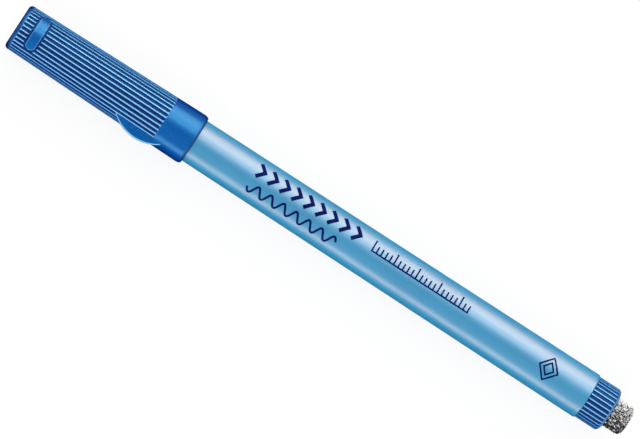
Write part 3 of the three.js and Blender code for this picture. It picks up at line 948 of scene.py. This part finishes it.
CAP_SHADES = ((0.001, 0.128, 0.395), (0.002, 0.149, 0.44))
# Painted shade for the grooves of the cap and plug, and a painted highlight for their crests
CAP_PAINTED_GROOVE_SHADE = (0.0, 0.012, 0.165)
CAP_PAINTED_CREST_HIGHLIGHT = (0.57, 0.94, 1.0)
GROOVE_DULLNESS = 0.4            # roughness that a groove adds
GLOSS_SPREAD = 0.05              # of the roughness, up and down
DRIFT_BAND = (0.3, 0.7)          # noise between which one shade turns into the other
BARREL_SHADES = ((0.003, 0.24, 0.455), (0.005, 0.262, 0.487))
SEAL_SHADES = ((0.6, 0.62, 0.64), (0.64, 0.66, 0.67))
NIB_SHADES = ((0.58, 0.6, 0.61), (0.64, 0.66, 0.67))
PRINT_SHADES = ((0.003, 0.009, 0.088), (0.005, 0.013, 0.104))
NIB_FIBRE_SHADES = ((0.006, 0.024, 0.16), (0.016, 0.056, 0.28))
INK_FIBRE_SHADES = ((0.01, 0.04, 0.24), (0.032, 0.096, 0.4))
FELT_TINT = (0.93, 0.88, 0.85)
FELT_TINT_BAND = (0.45, 0.65)    # noise between which the tint sets in
FELT_WEIGHTS = (0.7, 0.3, 0.27)  # of the fibres' own shade, the mottle and the painted light, paler away from the lug
FELT_SHADES = (
    (0.3, (0.006, 0.006, 0.007, 1)), (0.42, (0.055, 0.055, 0.055, 1)),
    (0.54, (0.26, 0.26, 0.26, 1)), (0.63, (0.95, 0.95, 0.95, 1)),
)


def principled(name, constants):
    """A new material's graph and its shader, with the values that are the same all over."""
    material = bpy.data.materials.new(name)
    material.use_nodes = True
    graph = Graph(material.node_tree)
    shader = material.node_tree.nodes["Principled BSDF"]
    for key, value in constants.items():
        shader.inputs[key].default_value = value
    return material, graph, shader


def feed(graph, shader, key, value):
    graph.tree.links.new(value.socket, shader.inputs[key])


def object_place(graph):
    """The place on the pen, in metres."""
    return Value(graph, graph.node("ShaderNodeTexCoord").outputs["Object"])


def mark_of(graph, name):
    """A value that a geometry tree stored on the mesh."""
    return graph.out("ShaderNodeAttribute", {"attribute_name": name}, output=2)


def stretched_noise(graph, scale, detail, stretch=(1, 1, 1)):
    """Noise on the pen's own coordinates in millimetres, drawn out by the stretch."""
    per_metre = [1 / (MM * s) for s in stretch]
    place = graph.out("ShaderNodeMapping", inputs={"Vector": object_place(graph), "Scale": per_metre})
    return graph.out("ShaderNodeTexNoise", inputs={"Vector": place, "Scale": scale, "Detail": detail})


def mixed(graph, share, low, high, blend="MIX"):
    """A colour from low to high, each a value or a plain (red, green, blue)."""
    colours = [colour if isinstance(colour, Value) else (*colour, 1) for colour in (low, high)]
    return graph.out("ShaderNodeMix", {"data_type": "RGBA", "blend_type": blend},
                     {"Factor": share, 6: colours[0], 7: colours[1]}, output=2)


def moulded_plastic(name, shades, roughness, grain, **constants):
    """Moulded plastic: two shades that drift along the flow, a fine grain and uneven gloss."""
    constants = {key.replace("_", " "): value for key, value in constants.items()}
    material, graph, shader = principled(name, constants)
    flow = stretched_noise(graph, scale=0.3, detail=3.0, stretch=(5, 1, 1))
    feed(graph, shader, "Base Color", mixed(graph, flow.step(*DRIFT_BAND), *shades))
    speckle = stretched_noise(graph, scale=3.0, detail=4.0)
    uneven = speckle.between(roughness - GLOSS_SPREAD, roughness + GLOSS_SPREAD)
    feed(graph, shader, "Roughness", uneven)
    bump = {"Height": speckle, "Strength": 1.0, "Distance": grain * MM}
    feed(graph, shader, "Normal", graph.out("ShaderNodeBump", inputs=bump))
    return material


def fluted_plastic(name, shades, groove, crest, roughness, grain, **constants):
    """Moulded plastic with the painted shade and painted highlights that a tree marked on the mesh."""
    material = moulded_plastic(name, shades, roughness, grain, **constants)
    graph = Graph(material.node_tree)
    shader = material.node_tree.nodes["Principled BSDF"]
    plain = Value(graph, shader.inputs["Base Color"].links[0].from_socket)
    gloss = Value(graph, shader.inputs["Roughness"].links[0].from_socket)
    # Painted shade from the groove mark, and painted highlights from the crest mark
    in_painted_shade = mark_of(graph, "groove").at_most(1.0)
    on_painted_highlight = mark_of(graph, "crest").at_most(1.0)
    with_painted_shade = mixed(graph, in_painted_shade, plain, groove)
    feed(graph, shader, "Base Color", mixed(graph, on_painted_highlight, with_painted_shade, crest))
    feed(graph, shader, "Roughness", gloss + in_painted_shade * GROOVE_DULLNESS)
    return material


def felt_material():
    """Grey felt: dark and pale fibres, a warm tint in places, and painted light that makes it paler away
    from the lug's side.
    """
    material, graph, shader = principled("felt_grey", {"Roughness": 1.0})
    mottle = stretched_noise(graph, scale=1.6, detail=3.0).step(*DRIFT_BAND)
    tint = stretched_noise(graph, scale=0.5, detail=1.0).step(*FELT_TINT_BAND)
    painted_light_side = graph.out("ShaderNodeVectorMath", {"operation": "DOT_PRODUCT"},
                           {0: object_place(graph), 1: -LUG_WAY}, output=1) / (FELT_RADIUS * MM)
    own, spots, side = FELT_WEIGHTS
    # Painted light: the felt is paler on the side away from the lug and darker towards it
    level = mark_of(graph, "shade") * own + mottle * spots + painted_light_side * side
    grey = graph.out("ShaderNodeValToRGB", {"stops": FELT_SHADES}, {0: level})
    feed(graph, shader, "Base Color", mixed(graph, tint, grey, FELT_TINT, "MULTIPLY"))
    return material


def fibre_material(name, shades):
    """Dull fibres that run along the pen."""
    material, graph, shader = principled(name, {"Roughness": 0.85})
    strands = stretched_noise(graph, scale=4.0, detail=3.0, stretch=(14, 1, 1))
    feed(graph, shader, "Base Color", mixed(graph, strands, *shades))
    return material


def film_material():
    """Clear film with faint wrinkles along the pen."""
    material, graph, shader = principled("clear_film", {
        "Base Color": (0.85, 0.92, 0.97, 1), "Transmission Weight": 0.85, "IOR": 1.49})
    wrinkles = stretched_noise(graph, scale=0.8, detail=2.0, stretch=(3, 1, 1))
    feed(graph, shader, "Roughness", wrinkles.between(0.1, 0.3))
    return material


# Floor, lamps and world

FLOOR_HEIGHT = cad_box[0][2]
FLOOR_REACH = 3.0
FLOOR_PALENESS = 0.8             # of the floor as the pen is lit by it
FLOOR_GLOW = 0.86                # of the floor as the camera sees it, without the light that falls on it
FLOOR_SHADING = 0.145            # what the light that falls on it adds, less in the pen's shadow
GLEAM_BAND = (0.02, 0.25)        # metres from the pen over which a painted shadow round the pen, seen only in gloss, fades into the white floor
WORLD_FILL = 0.88
GLOSS_FILL = 0.04                # the world's strength in reflections

# Name, degrees over +Y, distance, (length, width), radiance, and True for a lamp that is only seen
# in gloss or False for one that lights the surfaces and isn't seen in gloss
LAMPS = (
    ("back_lamp", 20, 1.0, (0.9, 0.7), 3.75, False),
    ("fill_lamp", 150, 1.0, (0.9, 0.7), 3.25, False),
    ("upper_strip", 57, 0.7, (1.8, 0.83), 5.4, True),
    ("upper_core", 57, 0.69, (1.8, 0.3), 2.2, True),
    ("upper_glow", 88, 0.7, (1.8, 0.24), 2.0, True),
)
FRONT_STRIP_PLACE = PEN_CENTRE + Vector((0, -0.084, -0.0045))
FRONT_STRIP_SIZE = (0.8, 0.132)
FRONT_STRIP_RADIANCE = 5.2


def ray_is(graph, *kinds):
    """1 for rays of these kinds, otherwise 0."""
    path = graph.node("ShaderNodeLightPath")
    total = Value(graph, path.outputs[f"Is {kinds[0]} Ray"])
    for kind in kinds[1:]:
        total = total + Value(graph, path.outputs[f"Is {kind} Ray"])
    return total.at_most(1.0)


def make_floor():
    """A white table. The camera sees it nearly as bright as the world, with the pen's faint shadow."""
    mesh = bpy.data.meshes.new("floor")
    corners = [(-1, -1), (1, -1), (1, 1), (-1, 1)]
    points = [(x * FLOOR_REACH, y * FLOOR_REACH, FLOOR_HEIGHT) for x, y in corners]
    mesh.from_pydata(points, [], [(0, 1, 2, 3)])
    floor = new_object("floor", mesh)
    material = bpy.data.materials.new("white_table")
    material.cycles.emission_sampling = "NONE"   # its glow is only seen and lights nothing
    material.use_nodes = True
    material.node_tree.nodes.clear()
    graph = Graph(material.node_tree)
    across = graph.out("ShaderNodeSeparateXYZ", inputs={0: object_place(graph)}, output=1)
    camera = ray_is(graph, "Camera")
    # Painted shadow: in gloss the floor is dark near the pen and white further off
    painted_shadow_gleam = abs(across).step(*GLEAM_BAND)
    seen = camera * FLOOR_GLOW + ray_is(graph, "Glossy", "Transmission") * painted_shadow_gleam
    pale = graph.out("ShaderNodeBsdfDiffuse", inputs={"Color": (*[FLOOR_PALENESS] * 3, 1)})
    faint = graph.out("ShaderNodeBsdfDiffuse", inputs={"Color": camera * FLOOR_SHADING})
    glow = graph.out("ShaderNodeEmission", inputs={"Strength": seen})
    white = graph.out("ShaderNodeAddShader", inputs={0: faint, 1: glow})
    shown = ray_is(graph, "Camera", "Glossy", "Transmission")
    mix = graph.out("ShaderNodeMixShader", inputs={0: shown, 1: pale, 2: white})
    graph.node("ShaderNodeOutputMaterial", inputs={0: mix})
    mesh.materials.append(material)


def make_world():
    world = bpy.data.worlds.new("studio")
    bpy.context.scene.world = world
    world.cycles.sampling_method = "NONE"   # an even world has no bright spot to aim rays at
    world.use_nodes = True
    world.node_tree.nodes.clear()
    graph = Graph(world.node_tree)
    glossy = ray_is(graph, "Glossy")
    camera = ray_is(graph, "Camera")
    level = WORLD_FILL + glossy * (GLOSS_FILL - WORLD_FILL) + camera * (1 - WORLD_FILL)
    background = graph.out("ShaderNodeBackground", inputs={"Strength": level})
    graph.node("ShaderNodeOutputWorld", inputs={0: background})


def make_lamp(name, place, aim, size, radiance, in_gloss):
    """A soft rectangular lamp whose length runs along the pen, in gloss only or not in gloss at all."""
    data = bpy.data.lights.new(name, "AREA")
    data.shape = "RECTANGLE"
    data.size, data.size_y = size
    data.energy = radiance * math.pi * size[0] * size[1]
    lamp = bpy.data.objects.new(name, data)
    away = (place - aim).normalized()
    turn = Matrix((X_AXIS, X_AXIS.cross(away), away)).transposed()
    lamp.matrix_world = Matrix.Translation(place) @ turn.to_4x4()
    lamp.visible_camera = False
    lamp.visible_diffuse = not in_gloss
    lamp.visible_glossy = in_gloss
    bpy.context.collection.objects.link(lamp)


def make_lamps():
    for name, degrees, distance, size, radiance, in_gloss in LAMPS:
        angle = math.radians(degrees)
        place = PEN_CENTRE + distance * Vector((0, math.cos(angle), math.sin(angle)))
        make_lamp(name, place, PEN_CENTRE, size, radiance, in_gloss)
    make_lamp("front_strip", FRONT_STRIP_PLACE, FRONT_STRIP_PLACE + Z_AXIS, FRONT_STRIP_SIZE,
              FRONT_STRIP_RADIANCE, True)


def dress(node, material):
    """Gives a CAD node that stays the material."""
    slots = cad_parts[node].data.materials
    slots.clear()
    slots.append(material)


make_camera()
make_floor()
make_world()
make_lamps()

cap_blue = fluted_plastic("cap_blue", CAP_SHADES, CAP_PAINTED_GROOVE_SHADE, CAP_PAINTED_CREST_HIGHLIGHT, roughness=0.27, grain=0.003,
                          IOR=1.8, Specular_Tint=(0.28, 0.76, 0.66, 1),
                          Coat_Weight=1.0, Coat_IOR=1.01, Coat_Tint=(0.5, 0.62, 0.82, 1))
barrel_blue = moulded_plastic("barrel_blue", BARREL_SHADES, roughness=0.37, grain=0.004,
                              IOR=1.83, Specular_Tint=(1.0, 0.63, 0.38, 1))
seal_white = moulded_plastic("seal_white", SEAL_SHADES, roughness=0.4, grain=0.004)
nib_white = moulded_plastic("nib_white", NIB_SHADES, roughness=0.45, grain=0.004)
print_ink = moulded_plastic("print_ink", PRINT_SHADES, roughness=0.6, grain=0.002,
                            Specular_IOR_Level=0.0)
nib_fibre = fibre_material("nib_fibre", NIB_FIBRE_SHADES)
ink_fibre = fibre_material("ink_fibre", INK_FIBRE_SHADES)
felt_grey = felt_material()

# Piece, body it rides, CAD node it replaces, slot
PIECES = (
    (make_cap(cap_blue), "cap", "cap_shell", "cap_blue"),
    (make_barrel(barrel_blue), "pen", "barrel", "barrel_blue"),
    (make_seal_cup(seal_white), "cap", "cap_seal_cup", "seal_white"),
    (make_nose(cap_blue), "pen", "nose_section", "cap_blue"),
    (make_nib_sleeve(nib_white), "pen", "nib_sleeve", "nib_white"),
    (make_nib_core(nib_fibre), "pen", "nib_core", "nib_fibre"),
    (make_plug(cap_blue), "pen", "end_plug", "cap_blue"),
    (make_felt(felt_grey), "pen", "eraser_felt", "felt_grey"),
)
for piece, body, node, slot in PIECES:
    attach(piece, body)
    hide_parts(node)

barrel_print = make_print(print_ink)
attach(barrel_print, "pen")

dress("ink_reservoir", ink_fibre)
dress("reservoir_film", film_material())

bpy.context.scene.view_settings.view_transform = "Standard"
